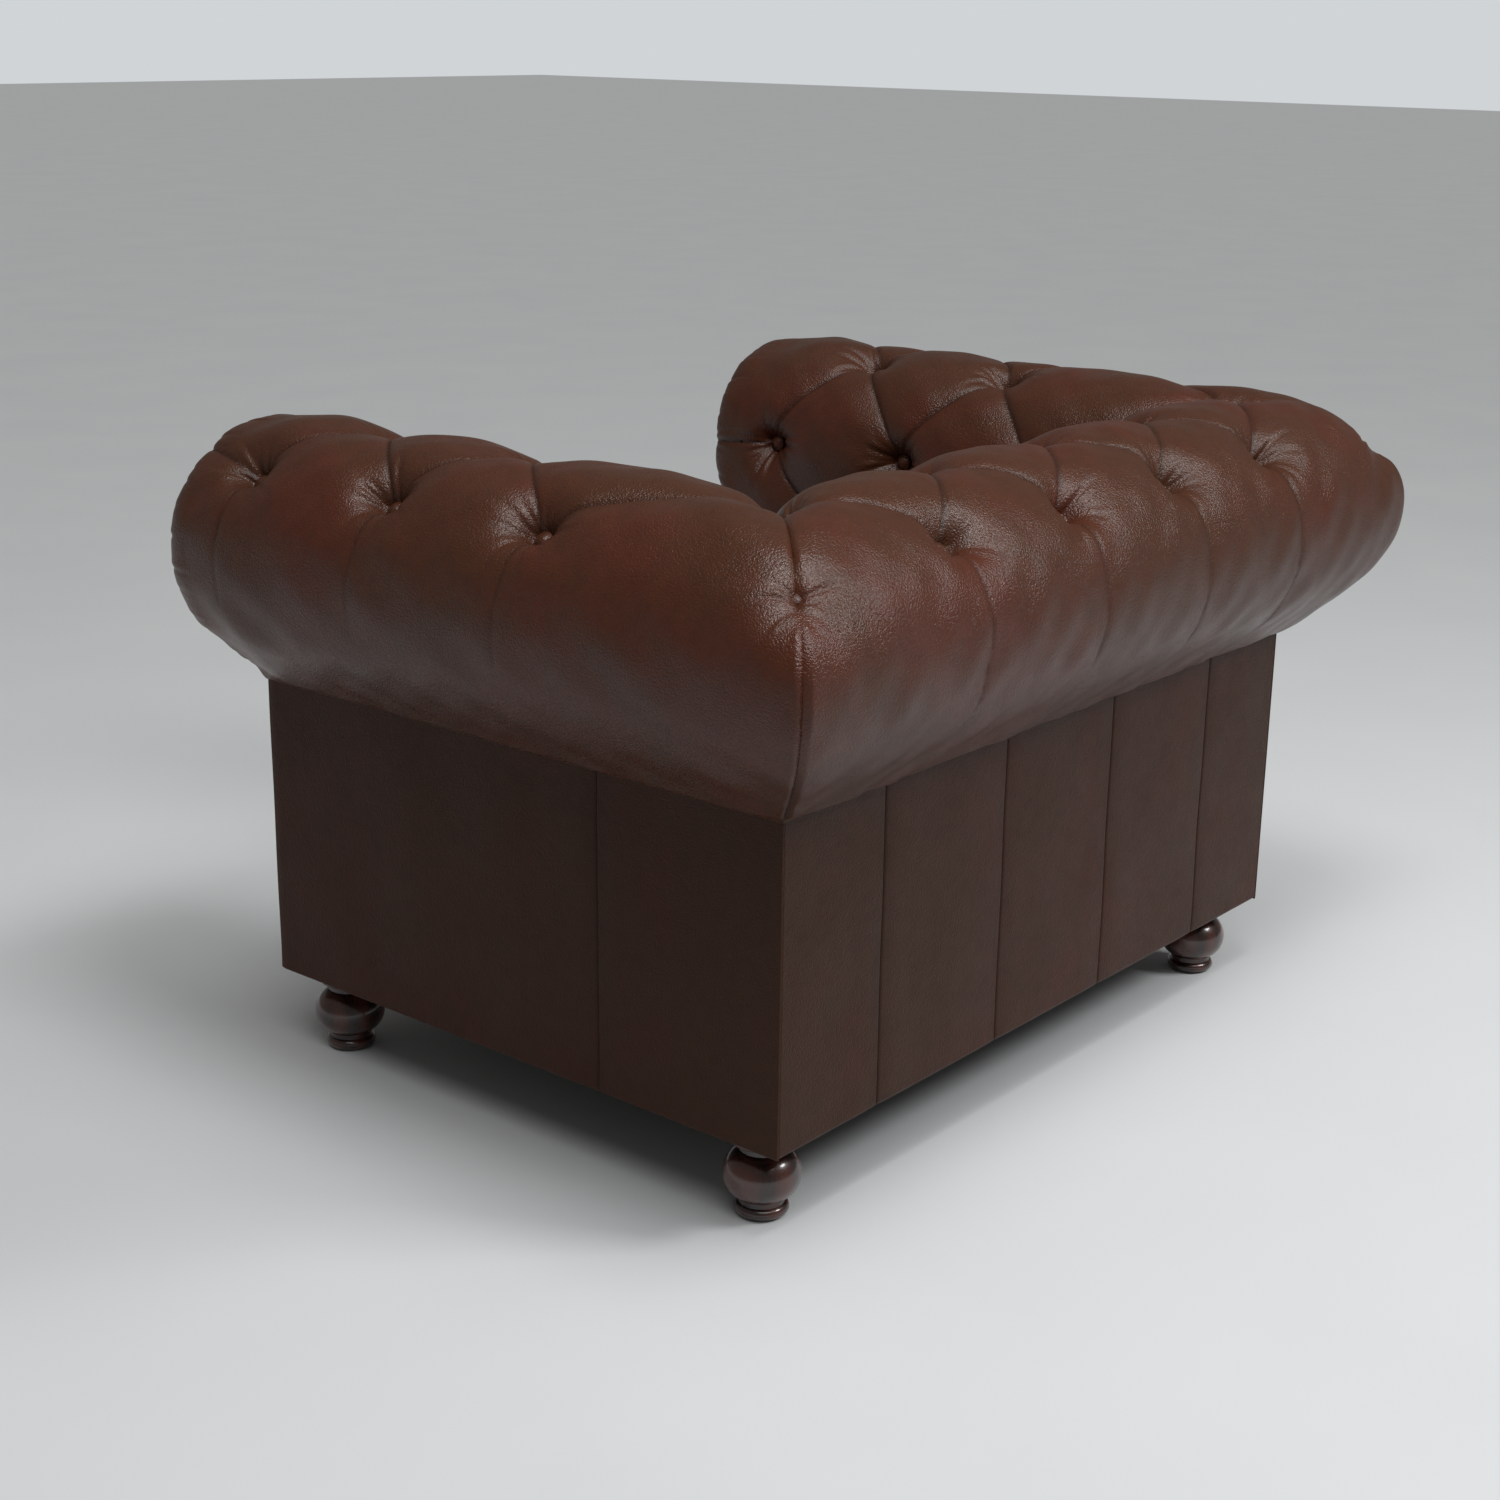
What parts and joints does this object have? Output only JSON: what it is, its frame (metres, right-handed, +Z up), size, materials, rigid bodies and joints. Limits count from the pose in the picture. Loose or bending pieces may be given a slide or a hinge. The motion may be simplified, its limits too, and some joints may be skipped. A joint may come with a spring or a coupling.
{
  "type": "upholstered armchair",
  "caption": "Deep-buttoned leather club armchair with one thick roll running level round its arms and back, a loose seat cushion, a sprung seat and turned bun feet.",
  "frame": {"origin": "on the floor under the middle of the chair's overall box", "axes": "+Z up, the sitter faces -Y, the sitter's left arm is at +X"},
  "size_m": [1.206, 0.9033, 0.757],
  "materials": {
    "frame_wood": "matte",
    "plywood": "matte",
    "webbing": "matte",
    "spring_steel": "satin",
    "zinc_steel": "satin",
    "hessian": "matte",
    "deck_felt": "matte",
    "black_cloth": "matte",
    "foam": "matte",
    "roll_leather": "satin",
    "panel_leather": "satin",
    "cushion_leather": "satin",
    "zip": "matte",
    "turned_wood": "gloss",
    "glide_plastic": "matte"
  },
  "bodies": {
    "frame": {"front_seat_rail": "frame_wood", "back_seat_rail": "frame_wood", "side_seat_rail_left": "frame_wood", "side_seat_rail_right": "frame_wood", "corner_blocks": "frame_wood", "arm_post_left": "frame_wood", "arm_post_right": "frame_wood", "back_post_left": "frame_wood", "back_post_right": "frame_wood", "arm_tack_rail_left": "frame_wood", "arm_tack_rail_right": "frame_wood", "back_tack_rail": "frame_wood", "arm_top_rail_left": "frame_wood", "arm_top_rail_right": "frame_wood", "back_top_rail": "frame_wood", "scroll_board_left": "plywood", "scroll_board_right": "plywood", "roll_formers": "plywood", "roll_board_left": "plywood", "roll_board_right": "plywood", "roll_board_back": "plywood", "scroll_facing_board_left": "plywood", "scroll_facing_board_right": "plywood", "arm_webbing_left": "webbing", "arm_webbing_right": "webbing", "back_webbing": "webbing", "seat_springs": "spring_steel", "spring_clips": "zinc_steel", "hanger_bolts": "zinc_steel", "tee_nuts": "zinc_steel", "seat_hessian": "hessian", "deck_pad": "deck_felt", "deck_cloth": "black_cloth", "dust_cover": "black_cloth", "arm_padding_left": "foam", "arm_padding_right": "foam", "back_padding": "foam", "arm_leather_left": "roll_leather", "arm_leather_right": "roll_leather", "back_leather": "roll_leather", "arm_buttons_left": "roll_leather", "arm_buttons_right": "roll_leather", "back_buttons": "roll_leather", "outer_panel_left": "panel_leather", "outer_panel_right": "panel_leather", "outer_panel_back": "panel_leather", "front_border": "panel_leather", "scroll_facing_left": "panel_leather", "scroll_facing_right": "panel_leather", "foot_front_left": "turned_wood", "foot_front_right": "turned_wood", "foot_back_left": "turned_wood", "foot_back_right": "turned_wood", "foot_glides": "glide_plastic"},
    "seat_cushion": {"cushion_foam": "foam", "cushion_cover": "cushion_leather", "cushion_zip": "zip"}
  },
  "joints": [
    {"name": "cushion_lift", "type": "slide", "parent": "frame", "child": "seat_cushion", "axis": [0, 0, 1], "range_m": [0, 0.4]}
  ]
}
